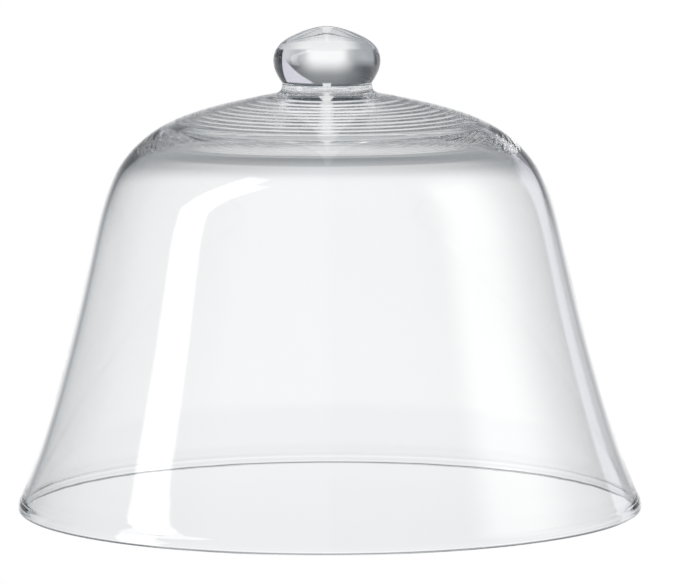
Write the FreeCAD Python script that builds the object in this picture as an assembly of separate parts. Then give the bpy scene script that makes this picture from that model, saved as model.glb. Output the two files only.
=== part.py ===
"""Bell jar dome: a free-standing clear glass display bell with a solid glass knob.

Three pieces of glass, fused together:
  bell_shell    thick crown rippled inside, rounded shoulder, thin flared skirt, rounded rim
  neck_collar   short solid collar whose flared foot sits on the crown
  knob          solid flattened ball pressed into the collar's dished top

Millimetres. +Z runs up the bell's axis; the origin is the centre of the flat ground underside
of the rim. Every piece is a full revolution about +Z, and neighbours share one seat surface.
Profile points are (radius, height), and profile directions are (radial, vertical).
"""

import FreeCAD, Part
import math
import os

# ---- Seats between the pieces ----
SEAT_R = 22.4            # outer edge of the collar's seat on the crown
SEAT_Z = 186.52
SEAT_EDGE = (SEAT_R, SEAT_Z)
CREASE_R = 20.08         # sharp crease between knob and collar
CREASE_Z = 190.60
CREASE = (CREASE_R, CREASE_Z)
DISH_DEPTH = 1.10        # depth of the collar's dished top below the crease
DISH_BOTTOM = (0.0, CREASE_Z - DISH_DEPTH)

# ---- Collar foot ----
TOE_MID_INSET = 0.05     # middle of the foot's rounded edge, inwards from the seat edge
TOE_MID_RISE = 0.165     # and above it

# ---- Rim ----
RIM_R = 140.0            # largest radius of the bell
RIM_MID_Z = 1.20         # height of that widest circle
LAND_IN = (137.7, 0.0)   # inner edge of the flat ground land
LAND_OUT = (139.0, 0.0)  # outer edge of the land

# ---- Wall ----
WALL_CENTRE = 7.2        # thickness on the axis
WALL_CROWN = 4.6         # thickness at the edge of the crown
WALL_SHOULDER = 2.5      # thickness at the bottom of the shoulder
WALL_SKIRT = 2.6         # thickness towards the rim
CROWN_R = 68.0           # edge of the crown
CROWN_THINNING = 1.5     # power of the radius by which the crown thins
TAPER_TOP = 172.5        # outer-face height where the wall starts to thin over the shoulder
TAPER_END = 147.0        # outer-face height where it reaches WALL_SHOULDER

# ---- Sampling of the inner face ----
OFFSET_STEPS = 2400      # equal parameter steps along the outer face
FINE_LENGTH = 88.0       # arc length from the axis that is sampled closely
FINE_SPACING = 0.75
COARSE_SPACING = 4.5
INNER_END_Z = 7.0        # the rim takes over from the inner face at about this height

# Ripples inside the crown: (crest radius, crest-to-trough height).
RIPPLES = [
    (27.5, 0.30), (33.2, 0.55), (37.8, 0.32), (42.8, 0.58), (46.6, 0.36),
    (50.8, 0.52), (54.2, 0.30), (58.0, 0.44), (61.4, 0.28), (64.6, 0.22),
]
# Each ripple reaches halfway to its neighbours; these gaps stand in at the two ends.
RIPPLE_GAP_INSIDE = 7.0
RIPPLE_GAP_OUTSIDE = 2.6

AXIS_TANGENT = (1.0, 0.0)       # faces cross the axis level
RIM_TANGENT = (0.44, -0.90)     # where the outer face runs into the rim
FOOT_TANGENT = (0.90, -0.44)    # where the collar's side runs into its toe

# Outer face of the bell from the axis down to the top of the rim: (radius, height).
OUTER = [
    (0.0, 188.05), (6.0, 187.95), (12.0, 187.62), (18.0, 187.08), SEAT_EDGE,
    (30.0, 185.18), (36.5, 183.79), (43.6, 182.21), (50.6, 180.49), (57.3, 178.56),
    (63.3, 176.56), (69.2, 174.14), (74.6, 171.35), (79.5, 168.16), (83.95, 164.54),
    (88.15, 160.39), (91.55, 156.20), (94.65, 151.38), (97.32, 146.03), (99.82, 139.48),
    (102.1, 131.92), (104.23, 123.18), (106.69, 112.23), (109.38, 100.57), (112.33, 88.16),
    (115.64, 75.21), (119.29, 61.80), (123.05, 48.69), (127.0, 35.89), (130.95, 24.27),
    (134.72, 14.80), (137.25, 8.72), (138.45, 6.15),
]

# Outside of the rim, from the outer face down to the land: (radius, height).
RIM_OUTER = [
    OUTER[-1], (139.10, 5.05), (139.50, 4.20), (139.74, 3.20), (139.92, 2.20),
    (RIM_R, RIM_MID_Z), (139.74, 0.40), LAND_OUT,
]

# Inside of the rim, from the land up to just short of the inner face: (radius, height).
RIM_INNER = [
    LAND_IN, (137.08, 0.42), (136.86, 1.20), (136.78, 2.30), (136.62, 3.40),
    (136.24, 4.60), (135.66, 5.95), (135.02, 7.35),
]

# Outer face of the ball from its apex down to the crease: (radius, height).
KNOB = [
    (0.0, 216.40), (4.1, 215.98), (8.2, 214.95), (12.5, 213.40), (16.45, 211.55),
    (19.85, 209.30), (22.3, 206.65), (23.62, 203.70), (23.92, 200.50), (23.42, 197.50),
    (22.28, 194.75), (20.90, 192.38), (20.22, 191.20), CREASE,
]

# Side of the collar from the crease down to the edge of its flared foot: (radius, height).
COLLAR = [
    CREASE, (20.20, 190.12), (20.29, 189.45), (20.38, 188.80), (20.58, 188.17),
    (20.98, 187.62), (21.55, 187.18), (22.10, 186.88),
]


# ---- Profile helpers ----
def vector(point):
    """A (radius, height) pair as a vector in the XZ plane."""
    return FreeCAD.Vector(point[0], 0.0, point[1])


def line(start, end):
    return Part.makeLine(vector(start), vector(end))


def spline(points, start_tangent, end_tangent):
    """Smooth cubic through the points with the given end tangents."""
    curve = Part.BSplineCurve()
    curve.interpolate(
        Points=[vector(point) for point in points],
        InitialTangent=vector(start_tangent),
        FinalTangent=vector(end_tangent),
    )
    return curve


def arcs(curve, first=None, last=None):
    """The curve, or its stretch between two parameters, as edges of tangent circular arcs."""
    stretch = curve.copy()
    if first is not None:
        stretch.segment(first, last)
    return [arc.toShape() for arc in stretch.toBiArcs(0.02)]


def revolve(edges):
    """Solid of revolution about +Z from a closed profile."""
    wire = Part.Wire(edges)
    if not wire.isClosed():
        raise RuntimeError("profile is open")
    solid = Part.Face(wire).revolve(FreeCAD.Vector(0, 0, 0), FreeCAD.Vector(0, 0, 1), 360)
    # The direction of the profile decides whether the solid comes out inside out.
    if solid.Volume < 0:
        solid.reverse()
    if not solid.isValid():
        raise RuntimeError("solid is not valid")
    return solid


# ---- Faces of the bell ----
def outer_face():
    """The bell's outer face above the rim, as a curve and its parameter at the seat edge."""
    curve = spline(OUTER, AXIS_TANGENT, RIM_TANGENT)
    return curve, curve.parameter(vector(SEAT_EDGE))


def crown_seat():
    """The stretch of the outer face, from the axis outwards, under the collar."""
    curve, seat_end = outer_face()
    return arcs(curve, curve.FirstParameter, seat_end)


def thickness(radius, height):
    """Wall thickness without ripples at a point of the outer face."""
    if radius <= CROWN_R:
        thinning = (radius / CROWN_R) ** CROWN_THINNING
        return WALL_CROWN + (WALL_CENTRE - WALL_CROWN) * (1 - thinning)
    if height > TAPER_END:
        share = max(0.0, (TAPER_TOP - height) / (TAPER_TOP - TAPER_END))
        return WALL_CROWN + (WALL_SHOULDER - WALL_CROWN) * (1 - (1 - share) ** 2)
    share = (TAPER_END - height) / TAPER_END
    return WALL_SHOULDER + (WALL_SKIRT - WALL_SHOULDER) * share


def ripple(radius):
    """Extra thickness of the concentric cosine ripples at a radius of the inner face."""
    crests = [crest for crest, _ in RIPPLES]
    before = [crests[0] - RIPPLE_GAP_INSIDE] + crests[:-1]
    after = crests[1:] + [crests[-1] + RIPPLE_GAP_OUTSIDE]
    for previous, (crest, height), following in zip(before, RIPPLES, after):
        low = (previous + crest) / 2
        high = (crest + following) / 2
        if low <= radius <= high:
            reach = crest - low if radius <= crest else high - crest
            return height * 0.5 * (1 + math.cos(math.pi * (radius - crest) / reach))
    return 0.0


def offset_points(curve):
    """Dense inner-face points: the outer face moved inwards by the wall thickness and ripple."""
    first, last = curve.FirstParameter, curve.LastParameter
    points = []
    for i in range(OFFSET_STEPS + 1):
        parameter = first + (last - first) * i / OFFSET_STEPS
        outer = curve.value(parameter)
        tangent = curve.tangent(parameter)[0]
        inward = FreeCAD.Vector(tangent.z, 0, -tangent.x)
        inner = outer + inward * thickness(outer.x, outer.z)
        inner = inner + inward * ripple(inner.x)
        points.append((inner.x, inner.z))
    return points


def inner_points(curve):
    """Inner-face points from the axis outwards, close on the crown and wider down the wall."""
    dense = offset_points(curve)
    picked = []
    length = 0.0
    next_stop = 0.0
    previous = dense[0]
    for point in dense:
        length += math.hypot(point[0] - previous[0], point[1] - previous[1])
        previous = point
        if length >= next_stop:
            picked.append(point)
            next_stop += FINE_SPACING if next_stop < FINE_LENGTH else COARSE_SPACING
    picked[0] = (0.0, picked[0][1])
    return [point for point in picked if point[1] > INNER_END_Z]


def dish():
    """The collar's dished top: a circular arc from the axis to the crease."""
    radius = (CREASE_R ** 2 + DISH_DEPTH ** 2) / (2 * DISH_DEPTH)
    centre_z = CREASE_Z - DISH_DEPTH + radius
    half_angle = 0.5 * math.asin(CREASE_R / radius)
    middle = (radius * math.sin(half_angle), centre_z - radius * math.cos(half_angle))
    return Part.Arc(vector(DISH_BOTTOM), vector(middle), vector(CREASE)).toShape()


# ---- Pieces ----
def bell_shell():
    curve, seat_end = outer_face()
    inner = inner_points(curve)
    run = inner[-1][0] - inner[-2][0]
    rise = inner[-1][1] - inner[-2][1]
    length = math.hypot(run, rise)
    down = (run / length, rise / length)
    up = (-run / length, -rise / length)

    wall = spline(inner, AXIS_TANGENT, down)
    rim_outer = spline(RIM_OUTER, RIM_TANGENT, (-0.97, -0.24))
    rim_inner = spline(RIM_INNER + [inner[-1]], (-0.97, 0.24), up)
    return revolve([
        line(inner[0], OUTER[0]),
        *crown_seat(),
        *arcs(curve, seat_end, curve.LastParameter),
        *arcs(rim_outer),
        line(LAND_OUT, LAND_IN),
        *arcs(rim_inner),
        *reversed(arcs(wall)),
    ])


def neck_collar():
    side = spline(COLLAR, (0.30, -0.95), FOOT_TANGENT)
    toe_middle = (SEAT_R - TOE_MID_INSET, SEAT_Z + TOE_MID_RISE)
    toe = spline([COLLAR[-1], toe_middle, SEAT_EDGE], FOOT_TANGENT, (0.0, -1.0))
    return revolve([
        line(OUTER[0], DISH_BOTTOM),
        dish(),
        *arcs(side),
        *arcs(toe),
        *reversed(crown_seat()),
    ])


def knob():
    body = spline(KNOB, AXIS_TANGENT, (-0.20, -0.98))
    return revolve([line(DISH_BOTTOM, KNOB[0]), *arcs(body), dish()])


os.makedirs("parts", exist_ok=True)
for build in (bell_shell, neck_collar, knob):
    build().exportStep(os.path.join("parts", build.__name__ + ".step"))
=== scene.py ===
"""A clear glass bell (cloche): an open domed shell with a round knob fused on through a short neck collar.

It stands rim down on the floor, its axis along +Z. Profiles are in millimetres, as radius from
the axis and height above the rim. The camera looks along +Y from slightly above.
"""
import math

import bpy
import numpy as np
from mathutils import Matrix, Vector


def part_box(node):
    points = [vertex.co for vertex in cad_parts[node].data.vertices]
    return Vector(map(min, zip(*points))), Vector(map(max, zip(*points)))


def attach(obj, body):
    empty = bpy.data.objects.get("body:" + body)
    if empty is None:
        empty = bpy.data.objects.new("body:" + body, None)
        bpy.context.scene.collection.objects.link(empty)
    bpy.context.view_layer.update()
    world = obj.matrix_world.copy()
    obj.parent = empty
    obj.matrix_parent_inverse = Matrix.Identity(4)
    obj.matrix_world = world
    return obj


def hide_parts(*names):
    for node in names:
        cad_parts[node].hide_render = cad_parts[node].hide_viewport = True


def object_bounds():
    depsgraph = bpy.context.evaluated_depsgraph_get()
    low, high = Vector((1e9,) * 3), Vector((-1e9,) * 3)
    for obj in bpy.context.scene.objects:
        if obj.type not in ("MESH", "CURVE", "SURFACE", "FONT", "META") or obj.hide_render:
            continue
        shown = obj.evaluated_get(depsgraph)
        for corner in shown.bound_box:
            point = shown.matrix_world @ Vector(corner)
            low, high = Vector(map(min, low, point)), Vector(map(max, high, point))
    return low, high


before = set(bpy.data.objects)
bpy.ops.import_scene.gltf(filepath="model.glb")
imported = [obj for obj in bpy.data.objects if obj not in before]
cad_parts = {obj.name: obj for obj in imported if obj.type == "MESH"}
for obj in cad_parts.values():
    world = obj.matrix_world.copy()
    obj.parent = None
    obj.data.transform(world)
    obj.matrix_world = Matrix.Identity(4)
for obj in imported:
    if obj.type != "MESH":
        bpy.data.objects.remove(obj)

cad_lo, cad_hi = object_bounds()

# ---------------------------------------------------------------- profiles
SEGMENTS = 256  # round the axis

# Outer face of the shell, from the axis to just above the rim: (radius, height).
OUTER = [
    (0.0, 188.05), (6.0, 187.95), (12.0, 187.62), (18.0, 187.08), (22.4, 186.52),
    (30.0, 185.18), (36.5, 183.79), (43.6, 182.21), (50.6, 180.49), (57.3, 178.56),
    (63.3, 176.56), (69.2, 174.14), (74.6, 171.35), (79.5, 168.16), (83.95, 164.54),
    (88.15, 160.39), (91.55, 156.20), (94.65, 151.38), (97.32, 146.03), (99.82, 139.48),
    (102.1, 131.92), (104.23, 123.18), (106.69, 112.23), (109.38, 100.57), (112.33, 88.16),
    (115.64, 75.21), (119.29, 61.80), (123.05, 48.69), (127.0, 35.89), (130.95, 24.27),
    (134.72, 14.80), (137.25, 8.72), (138.45, 6.15),
]
SEAT_STOP = 4        # the point of OUTER where the collar's foot ends
SHOULDER_STOP = 14   # the point of OUTER where the rings become coarser
SEAT_R, SEAT_Z = OUTER[SEAT_STOP]

# Rim: a rounded edge outside and inside a flat land at height 0.
RIM_R, RIM_MID_Z = 140.0, 1.20
LAND_IN_R, LAND_OUT_R, LAND_INSET = 137.7, 139.0, 0.3
RIM_OUT = [
    OUTER[-1], (139.10, 5.05), (139.50, 4.20), (139.74, 3.20), (139.92, 2.20),
    (RIM_R, RIM_MID_Z), (139.74, 0.40), (LAND_OUT_R, 0.0),
]
RIM_IN = [  # goes on to the end of the inner face
    (LAND_IN_R, 0.0), (137.08, 0.42), (136.86, 1.20), (136.78, 2.30), (136.62, 3.40),
    (136.24, 4.60), (135.66, 5.95), (135.02, 7.35),
]

# Knob and collar meet in a crease, across a shallow dish.
CREASE_R, CREASE_Z, DISH_DEPTH = 20.08, 190.60, 1.10
KNOB = [
    (0.0, 216.40), (4.1, 215.98), (8.2, 214.95), (12.5, 213.40), (16.45, 211.55),
    (19.85, 209.30), (22.3, 206.65), (23.62, 203.70), (23.92, 200.50), (23.42, 197.50),
    (22.28, 194.75), (20.90, 192.38), (20.22, 191.20), (CREASE_R, CREASE_Z),
]
COLLAR = [
    (CREASE_R, CREASE_Z), (20.20, 190.12), (20.29, 189.45), (20.38, 188.80), (20.58, 188.17),
    (20.98, 187.62), (21.55, 187.18), (22.10, 186.88),
]
TOE_INSET, TOE_H, TOE_BULGE = 0.05, 0.30, 0.55  # the toe's middle point; bulge is a share of TOE_H

# Directions (radius, height) in which the profiles leave or arrive.
LEVEL_DIR = (1.0, 0.0)
RIM_DIR = (0.44, -0.90)
COLLAR_FOOT_DIR = (0.90, -0.44)

# Wall thickness at the axis, round the crown, at the shoulder and at the rim.
WALL_CENTRE, WALL_CROWN, WALL_SHOULDER, WALL_SKIRT = 7.2, 4.6, 2.5, 2.6
CROWN_R, CROWN_MIN_Z = 68.0, 150.0
TAPER_TOP, TAPER_END = 172.5, 147.0  # heights between which crown thins to shoulder

# Ring-shaped ripples under the crown: (radius of the crest, added thickness).
RIPPLES = [
    (27.5, 0.30), (33.2, 0.55), (37.8, 0.32), (42.8, 0.58), (46.6, 0.36),
    (50.8, 0.52), (54.2, 0.30), (58.0, 0.44), (61.4, 0.28), (64.6, 0.22),
]
# Crest radii with one more stop at each end. Every ripple ends halfway to its neighbours.
RIPPLE_STOPS = [RIPPLES[0][0] - 7.0, *(crest for crest, _ in RIPPLES), RIPPLES[-1][0] + 2.6]

# The CAD shell gives the place and the scale (metres per millimetre) of every profile.
shell_lo, shell_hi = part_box("bell_shell")
MM = (shell_hi.x - shell_lo.x) / (2 * RIM_R)
BASE = Vector(((shell_lo.x + shell_hi.x) / 2, (shell_lo.y + shell_hi.y) / 2, shell_lo.z))


class Spline:
    """C2 cubic through points, measured by chord length, with given directions at its ends."""

    def __init__(self, points, start, end):
        p = self.points = np.array(points, float)
        self.stops = chord_lengths(p)
        span = self.spans = np.diff(self.stops)
        count = len(p)
        matrix = np.zeros((count, count))
        right = np.zeros((count, 2))
        matrix[0, 0] = matrix[-1, -1] = 1
        right[0] = np.array(start, float) / np.hypot(*start)
        right[-1] = np.array(end, float) / np.hypot(*end)
        for i in range(1, count - 1):
            before, after = span[i - 1], span[i]
            matrix[i, i - 1:i + 2] = after, 2 * (before + after), before
            right[i] = 3 * (after * (p[i] - p[i - 1]) / before
                            + before * (p[i + 1] - p[i]) / after)
        self.slopes = np.linalg.solve(matrix, right)

    def at(self, lengths):
        lengths = np.clip(np.asarray(lengths, float), 0, self.stops[-1])
        k = np.searchsorted(self.stops, lengths, side="right") - 1
        k = np.clip(k, 0, len(self.points) - 2)
        t = ((lengths - self.stops[k]) / self.spans[k])[:, None]
        span = self.spans[k][:, None]
        return ((2 * t**3 - 3 * t**2 + 1) * self.points[k]
                + (t**3 - 2 * t**2 + t) * span * self.slopes[k]
                + (3 * t**2 - 2 * t**3) * self.points[k + 1]
                + (t**3 - t**2) * span * self.slopes[k + 1])

    def run(self, step, first=0.0, last=None):
        """Points at about that step, both ends included."""
        last = self.stops[-1] if last is None else last
        count = max(2, int(math.ceil((last - first) / step)) + 1)
        return self.at(np.linspace(first, last, count))


def chord_lengths(points):
    return np.concatenate([[0], np.cumsum(np.hypot(*np.diff(points, axis=0).T))])


def wall_thickness(r, z):
    """Thickness of the wall behind a point of the outer face."""
    if r <= CROWN_R and z > CROWN_MIN_Z:
        return WALL_CROWN + (WALL_CENTRE - WALL_CROWN) * (1 - (r / CROWN_R) ** 1.5)
    share = min(1.0, max(0.0, (TAPER_TOP - z) / (TAPER_TOP - TAPER_END)))
    if share < 1.0:
        return WALL_CROWN + (WALL_SHOULDER - WALL_CROWN) * (1 - (1 - share) ** 2)
    return WALL_SHOULDER + (WALL_SKIRT - WALL_SHOULDER) * (TAPER_END - z) / TAPER_END


def ripple(r):
    """Thickness that the ripples add: a raised cosine on each side of a crest."""
    for i, (crest, height) in enumerate(RIPPLES):
        low = (RIPPLE_STOPS[i] + crest) / 2
        high = (crest + RIPPLE_STOPS[i + 2]) / 2
        if low <= r <= high:
            edge = low if r <= crest else high
            return height * 0.5 * (1 + math.cos(math.pi * (crest - r) / (crest - edge)))
    return 0.0


def inner_face(outer, samples=2401, nudge=1e-3, fine_step=0.75, fine_until=88.0,
               coarse_step=4.5, end_gap=3.0, min_z=7.0):
    """The inner face from the axis outwards: the curve, its end point and direction there.

    The outer face is offset densely, then a new curve goes through stops along the result.
    """
    length = outer.stops[-1]
    lengths = np.linspace(0, length, samples)
    along = outer.at(np.minimum(lengths + nudge, length)) - outer.at(np.maximum(lengths - nudge, 0))
    along /= np.hypot(along[:, 0], along[:, 1])[:, None]
    inward = np.stack([along[:, 1], -along[:, 0]], 1)
    dense = []
    for point, normal in zip(outer.at(lengths), inward):
        point = point + normal * wall_thickness(*point)
        if point[1] > CROWN_MIN_Z:
            point = point + normal * ripple(point[0])
        dense.append(point)
    dense = np.array(dense)
    arc = chord_lengths(dense)
    stops = [0.0]
    while stops[-1] < arc[-1] - end_gap:
        stops.append(stops[-1] + (fine_step if stops[-1] < fine_until else coarse_step))
    picked = dense[np.minimum(np.searchsorted(arc, stops), len(dense) - 1)]
    picked[0, 0] = 0.0
    picked = picked[picked[:, 1] > min_z]
    direction = picked[-1] - picked[-2]
    direction /= np.hypot(*direction)
    return Spline(picked, LEVEL_DIR, direction), picked[-1], direction


def dish_points(count=16):
    """The shallow bowl between knob and collar, an arc from the axis to the crease."""
    radius = (CREASE_R ** 2 + DISH_DEPTH ** 2) / (2 * DISH_DEPTH)
    angle = np.linspace(0, math.asin(CREASE_R / radius), count)
    return np.stack([radius * np.sin(angle),
                     CREASE_Z - DISH_DEPTH + radius * (1 - np.cos(angle))], 1)


outer = Spline(OUTER, LEVEL_DIR, RIM_DIR)
inner, inner_end, inner_dir = inner_face(outer)
rim_out = Spline(RIM_OUT, RIM_DIR, (-0.97, -0.24))
rim_in = Spline([*RIM_IN, tuple(inner_end)], (-0.97, 0.24), -inner_dir)
knob_side = Spline(KNOB, LEVEL_DIR, (-0.20, -0.98))
collar_side = Spline(COLLAR, (0.30, -0.95), COLLAR_FOOT_DIR)
collar_toe = Spline([COLLAR[-1], (SEAT_R - TOE_INSET, SEAT_Z + TOE_H * TOE_BULGE), (SEAT_R, SEAT_Z)],
                    COLLAR_FOOT_DIR, (0.0, -1.0))

# Both pieces of a fused joint use the same rings of points along it.
seat_length, shoulder_length = outer.stops[[SEAT_STOP, SHOULDER_STOP]]
SEAT = outer.run(1.5, 0.0, seat_length)
DISH = dish_points()


# ---------------------------------------------------------------- meshes
def hand_made(points):
    """Move points off a true lathe shape, as in a hand-blown bell.

    One smooth field moves every piece, so fused joints stay closed.
    """
    x, y, z = points.T
    r = np.hypot(x, y)
    angle = np.arctan2(y, x)

    def swell(size, lobes, phase, top_z, fade_z, full_r):
        """Lobes round the axis. They fade in over fade_z below top_z, and up to full_r."""
        return (size * np.sin(lobes * angle + phase)
                * np.clip((top_z - z) / fade_z, 0, 1) * np.clip(r / full_r, 0, 1))

    rim_fade_z = 12     # the swell dies out over this height above the rim
    twist = 0.013       # radians per millimetre of height
    lean = 0.0042       # towards -X, per millimetre of height
    out = swell(size=0.16, lobes=2, phase=0.7, top_z=150, fade_z=150, full_r=140)
    out += swell(size=0.10, lobes=3, phase=z * twist - 0.4, top_z=190, fade_z=60, full_r=100)
    out *= np.clip(z / rim_fade_z, 0, 1)
    return points + np.stack([out * np.cos(angle) - lean * z, out * np.sin(angle), 0 * z], 1)


def link_object(name, vertices, faces):
    mesh = bpy.data.meshes.new(name)
    mesh.from_pydata(vertices, [], faces)
    obj = bpy.data.objects.new(name, mesh)
    bpy.context.scene.collection.objects.link(obj)
    return obj


def lathe(name, runs):
    """A closed solid of revolution.

    runs are (points, material index) end to end, from the axis over the outside and back to it.
    """
    rings, marks = [], []
    for points, mark in runs:
        for point in points[1 if rings else 0:]:
            rings.append(point)
            marks.append(mark)
    rings = np.array(rings)
    body = rings[1:-1]
    angle = np.arange(SEGMENTS) * 2 * math.pi / SEGMENTS
    points = np.zeros((len(body) * SEGMENTS + 2, 3))
    points[1:-1, 0] = (body[:, :1] * np.cos(angle)).ravel()
    points[1:-1, 1] = (body[:, :1] * np.sin(angle)).ravel()
    points[1:-1, 2] = np.repeat(body[:, 1], SEGMENTS)
    points[0, 2], points[-1, 2] = rings[0][1], rings[-1][1]
    points = hand_made(points)

    # A fan at each end of the run, and bands of quads between.
    here = np.arange(SEGMENTS)
    beside = (here + 1) % SEGMENTS
    faces = np.stack([np.zeros_like(here), 1 + here, 1 + beside], 1).tolist()
    for i in range(len(body) - 1):
        ring = 1 + i * SEGMENTS
        after = ring + SEGMENTS
        faces += np.stack([ring + here, after + here, after + beside, ring + beside], 1).tolist()
    last = 1 + (len(body) - 1) * SEGMENTS
    end = np.full_like(here, len(points) - 1)
    faces += np.stack([end, last + beside, last + here], 1).tolist()

    obj = link_object(name, (points * MM + np.array(BASE)).tolist(), faces)
    polygons = obj.data.polygons
    polygons.foreach_set("material_index", np.repeat(marks[1:], SEGMENTS).tolist())
    polygons.foreach_set("use_smooth", [True] * len(polygons))
    obj.data.update()
    return obj


# ---------------------------------------------------------------- shader nodes
class Nodes:
    """Short calls that build the node tree of a material or a world."""

    def __init__(self, owner, output="ShaderNodeOutputMaterial"):
        owner.use_nodes = True
        self.tree = owner.node_tree
        self.tree.nodes.clear()
        self.output = self.add(output)

    def put(self, socket, value):
        if isinstance(value, bpy.types.NodeSocket):
            self.tree.links.new(value, socket)
        else:
            socket.default_value = value

    def add(self, kind, **inputs):
        """A new node. Underscores in input names stand for spaces."""
        node = self.tree.nodes.new(kind)
        for name, value in inputs.items():
            self.put(node.inputs[name.replace("_", " ")], value)
        return node

    def surface(self, kind, **inputs):
        """A shader node that feeds the output."""
        self.put(self.output.inputs["Surface"], self.add(kind, **inputs).outputs[0])

    def math(self, operation, *values):
        node = self.add("ShaderNodeMath")
        node.operation = operation
        for socket, value in zip(node.inputs, values):
            self.put(socket, value)
        return node.outputs[0]

    def ramp(self, value, off, on):
        """Smooth 0 to 1 as value goes from off to on, in either direction."""
        node = self.add("ShaderNodeMapRange", Value=value,
                        From_Min=min(off, on), From_Max=max(off, on),
                        To_Min=float(off > on), To_Max=float(on > off))
        node.interpolation_type = "SMOOTHSTEP"
        node.clamp = True
        return node.outputs["Result"]

    def mix(self, factor, under, over):
        node = self.add("ShaderNodeMix")
        node.data_type = "RGBA"
        self.put(node.inputs["Factor"], factor)
        self.put(node.inputs[6], under)  # colour inputs A and B
        self.put(node.inputs[7], over)
        return node.outputs[2]

    def mask(self, ramps):
        """Product of ramps, each (value, off, on)."""
        if len(ramps) == 1:
            return self.ramp(*ramps[0])
        half = len(ramps) // 2
        return self.math("MULTIPLY", self.mask(ramps[:half]), self.mask(ramps[half:]))

    def paint(self, colour, layers):
        """Lay colours over a first one. A layer is its colour, then the ramps of its mask."""
        for over, *ramps in layers:
            colour = self.mix(self.mask(ramps), colour, over)
        return colour


def rgb(r, g, b):
    return (r, g, b, 1.0)


WHITE = rgb(1, 1, 1)


# ---------------------------------------------------------------- materials
def glass(name, tint_a, tint_b, streak_z, bump_distance):
    """Clear glass with cloudy tint and faint streaks round the bell from turning it hot."""
    material = bpy.data.materials.new(name)
    nodes = Nodes(material)
    place = nodes.add("ShaderNodeTexCoord").outputs["Object"]
    stretched = nodes.add("ShaderNodeMapping", Vector=place, Scale=(6.0, 6.0, streak_z)).outputs[0]
    streak = nodes.add("ShaderNodeTexNoise", Vector=stretched,
                       Scale=1.0, Detail=3.0, Roughness=0.5).outputs["Fac"]
    cloud = nodes.add("ShaderNodeTexNoise", Vector=place, Scale=14.0, Detail=2.0).outputs["Fac"]
    tint = nodes.mix(cloud, rgb(*tint_a), rgb(*tint_b))
    cloud_weight = 1.5
    height = nodes.math("ADD", streak, nodes.math("MULTIPLY", cloud, cloud_weight))
    bump = nodes.add("ShaderNodeBump", Strength=1.0, Distance=bump_distance, Height=height)
    nodes.surface("ShaderNodeBsdfPrincipled", Base_Color=tint, Roughness=0.0, IOR=1.5,
                  Transmission_Weight=1.0, Normal=bump.outputs["Normal"])
    return material


def plain(name, kind, **inputs):
    """A material of one shader node."""
    material = bpy.data.materials.new(name)
    Nodes(material).surface(kind, **inputs)
    return material


bell_glass = glass("bell_glass_clear", tint_a=(0.985, 0.992, 0.995), tint_b=(0.993, 0.997, 0.998),
                   streak_z=60.0, bump_distance=0.00002)
knob_glass = glass("knob_glass_clear", tint_a=(0.985, 0.990, 0.993), tint_b=(0.993, 0.996, 0.997),
                   streak_z=90.0, bump_distance=0.00001)
fused_joint = plain("fused_joint", "ShaderNodeBsdfTransparent", Color=WHITE)

# ---------------------------------------------------------------- pieces
CLEAR, FUSED = 0, 1  # material slots of every piece
INNER_FINE = (18.0, 90.0)  # stretch of the inner face with close rings, for the ripples

bell = lathe("glass_bell", [
    (SEAT, FUSED),
    (outer.run(1.5, seat_length, shoulder_length), CLEAR),
    (outer.run(3.4, shoulder_length), CLEAR),
    (rim_out.run(0.35), CLEAR),
    ([(r, 0.0) for r in (LAND_OUT_R, LAND_OUT_R - LAND_INSET,
                         LAND_IN_R + LAND_INSET, LAND_IN_R)], CLEAR),
    (rim_in.run(0.35), CLEAR),
    (inner.run(3.4, INNER_FINE[1])[::-1], CLEAR),
    (inner.run(0.5, *INNER_FINE)[::-1], CLEAR),
    (inner.run(1.5, 0.0, INNER_FINE[0])[::-1], CLEAR),
])
collar = lathe("glass_neck_collar", [
    (DISH, FUSED),
    (collar_side.run(0.12), CLEAR),
    (collar_toe.run(0.06), CLEAR),
    (SEAT[::-1], FUSED),
])
knob = lathe("glass_knob", [
    (knob_side.run(0.45), CLEAR),
    (DISH[::-1], FUSED),
])
for piece, node, slot, material in (
        (bell, "bell_shell", "bell_glass", bell_glass),
        (collar, "neck_collar", "knob_glass", knob_glass),
        (knob, "knob", "knob_glass", knob_glass)):
    piece.data.materials.append(material)
    piece.data.materials.append(fused_joint)
    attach(piece, "root")
    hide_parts(node)


# ---------------------------------------------------------------- floor
def build_floor(radius=60.0, sides=96, drop=0.0006):
    """A wide pale disc that only the camera sees, in metres, just below the rim.

    The glass sees the studio's own table instead, so no edge of a disc shows in it.
    """
    angles = [2 * math.pi * i / sides for i in range(sides)]
    floor = link_object("floor", [(radius * math.cos(a), radius * math.sin(a), 0.0) for a in angles],
                        [tuple(range(sides))])
    floor.location = (BASE.x, BASE.y, BASE.z - drop)
    floor.data.materials.append(
        plain("pale_floor", "ShaderNodeEmission", Color=WHITE, Strength=1.0))
    floor.visible_glossy = floor.visible_transmission = False
    floor.visible_diffuse = floor.visible_shadow = False


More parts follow.
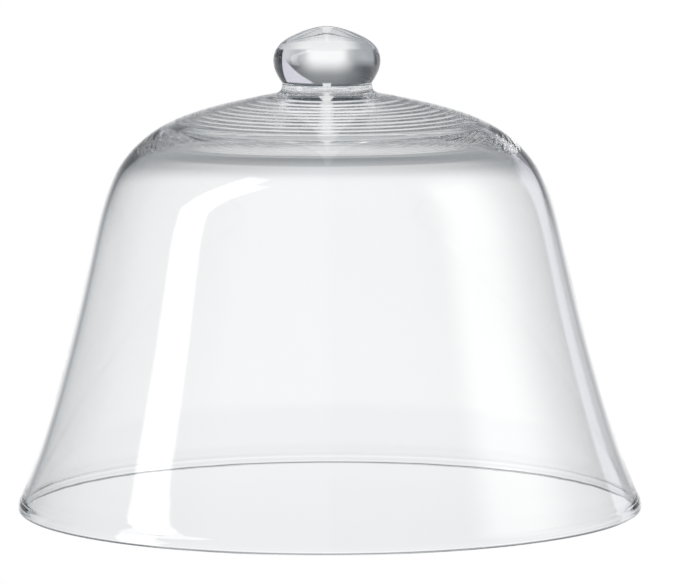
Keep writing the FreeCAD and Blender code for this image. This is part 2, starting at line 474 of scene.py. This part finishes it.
# ---------------------------------------------------------------- studio
def build_studio():
    """Lamps and screens that stand round the camera, so a turned view is lit as the front one.

    Azimuth is from straight ahead, positive to the right, and elevation is from the camera's
    level, both in degrees. Layers are (colour, (coordinate, off, on), ...), later ones on top.
    """
    world = bpy.data.worlds.new("studio")
    bpy.context.scene.world = world
    nodes = Nodes(world, "ShaderNodeOutputWorld")
    calc = nodes.math
    view = nodes.add("ShaderNodeVectorTransform",
                     Vector=nodes.add("ShaderNodeTexCoord").outputs["Generated"])
    view.vector_type, view.convert_from, view.convert_to = "VECTOR", "WORLD", "CAMERA"
    x, y, z = nodes.add("ShaderNodeSeparateXYZ", Vector=view.outputs[0]).outputs
    az = calc("MULTIPLY", calc("ARCTAN2", x, z), 180 / math.pi)
    el = calc("MULTIPLY", calc("ARCSINE", y), 180 / math.pi)
    side = calc("ABSOLUTE", az)

    # Elevation along the sloping edge of the screen.
    slope = calc("ADD", el, calc("MULTIPLY", az, 0.70))
    # Azimuth along the strip softbox, which leans away above 24 degrees and below 4.
    above = calc("MAXIMUM", calc("SUBTRACT", el, 24.0), 0.0)
    below = calc("MAXIMUM", calc("SUBTRACT", 4.0, el), 0.0)
    lean = calc("ADD", az, calc("ADD", calc("MULTIPLY", above, 0.78), calc("MULTIPLY", below, 0.30)))

    # Table: bright in the middle and close below, dimmer at the sides.
    table = nodes.paint(rgb(0.93, 0.935, 0.945), [
        (rgb(0.42, 0.435, 0.455), (az, -10, -34)),
        (rgb(0.68, 0.69, 0.71), (az, 12, 40)),
        (rgb(0.55, 0.56, 0.58), (side, 60, 100)),
        (rgb(0.88, 0.885, 0.895), (el, -18, -45)),
    ])
    # The sweep straight ahead, and the table's far edge across it.
    sweep = nodes.paint(rgb(1.0, 1.0, 1.0), [
        (rgb(0.958, 0.960, 0.965), (el, -1.55, -1.80)),
        (rgb(0.915, 0.918, 0.925), (el, -1.9, -3.1)),
    ])
    colour = nodes.paint(rgb(0.075, 0.072, 0.070), [
        # Dark room, bluish behind the camera.
        (rgb(0.035, 0.048, 0.062), (az, -70, -20)),
        (rgb(0.20, 0.26, 0.34), (az, -118, -140)),
        (rgb(0.08, 0.12, 0.17), (az, 122, 150)),
        # Light on the room, low down to the left and the right.
        (rgb(0.40, 0.425, 0.45), (az, -56, -48), (az, 6, -6), (el, 11, 3)),
        (rgb(0.66, 0.67, 0.70), (az, -6, 6), (az, 47, 43), (el, 10, 2)),
        # Glow of the sweep in the middle, wide and then close.
        (rgb(0.27, 0.28, 0.29), (side, 40, 4), (el, 40, 12)),
        (rgb(0.97, 0.97, 0.985), (side, 26, 6), (el, 17, 3)),
        # Near-black uprights on the right and the left.
        (rgb(0.012, 0.014, 0.018), (az, 44.5, 46.5), (az, 68, 60)),
        (rgb(0.015, 0.017, 0.022), (az, -72, -66), (az, -54, -60)),
        # Pale screen to the right of the sweep, cut off along a slope.
        (rgb(0.66, 0.65, 0.73), (az, 9, 14), (az, 46.0, 44.5), (slope, 30.0, 32.0), (el, 27, 23)),
        # Overhead strip lamp, along the line of sight.
        (rgb(0.8, 0.8, 0.8), (side, 4.2, 3.2), (el, 22, 26)),
        (table, (el, -2.5, -6.0)),
        (sweep, (side, 17, 9), (el, 7, 2.5), (el, -16, -8)),
        # Tall strip softbox on the left.
        (rgb(3.2, 3.2, 3.2), (lean, -114.5, -112.0), (lean, -95.0, -97.5),
         (el, -16, -13), (el, 57, 54)),
        # Large soft light on the right.
        (rgb(1.42, 1.40, 1.36), (az, 66, 98), (az, 126, 108), (el, -4, 16), (el, 58, 34)),
    ])
    # The camera itself sees plain white.
    camera_ray = nodes.add("ShaderNodeLightPath").outputs["Is Camera Ray"]
    nodes.surface("ShaderNodeBackground", Color=nodes.mix(camera_ray, colour, WHITE))


# ---------------------------------------------------------------- camera
def build_camera(target_height=0.105, distance=2.2, elevation=5.825, roll=-0.15):
    """A long lens in front of the bell, in metres and degrees."""
    lens = bpy.data.cameras.new("camera")
    camera = bpy.data.objects.new("camera", lens)
    bpy.context.scene.collection.objects.link(camera)
    bpy.context.scene.camera = camera
    lens.sensor_fit = "HORIZONTAL"
    lens.sensor_width = 36.0
    lens.lens = 261.89
    lens.shift_x, lens.shift_y = 0.01215, -0.02584
    lens.clip_start, lens.clip_end = 0.05, 40.0
    target = Vector(((cad_lo.x + cad_hi.x) / 2, (cad_lo.y + cad_hi.y) / 2,
                     cad_lo.z + target_height))
    tilt = math.radians(elevation)
    back = Vector((0, -math.cos(tilt), math.sin(tilt)))
    aim = (-back).to_track_quat("-Z", "Y").to_matrix().to_4x4()
    camera.matrix_world = (Matrix.Translation(target + back * distance) @ aim
                           @ Matrix.Rotation(math.radians(roll), 4, "Z"))


build_floor()
build_studio()
build_camera()

# Many bounces, for light passing through several walls of glass.
scene = bpy.context.scene
scene.cycles.use_denoising = True
scene.cycles.max_bounces = 48
scene.cycles.transmission_bounces = 40
scene.cycles.glossy_bounces = 32
scene.cycles.transparent_max_bounces = 64
scene.cycles.diffuse_bounces = 2
scene.cycles.sample_clamp_indirect = 6.0
scene.view_settings.view_transform = "Standard"
scene.view_settings.look = "None"
scene.view_settings.exposure = 0.0
scene.view_settings.gamma = 1.0
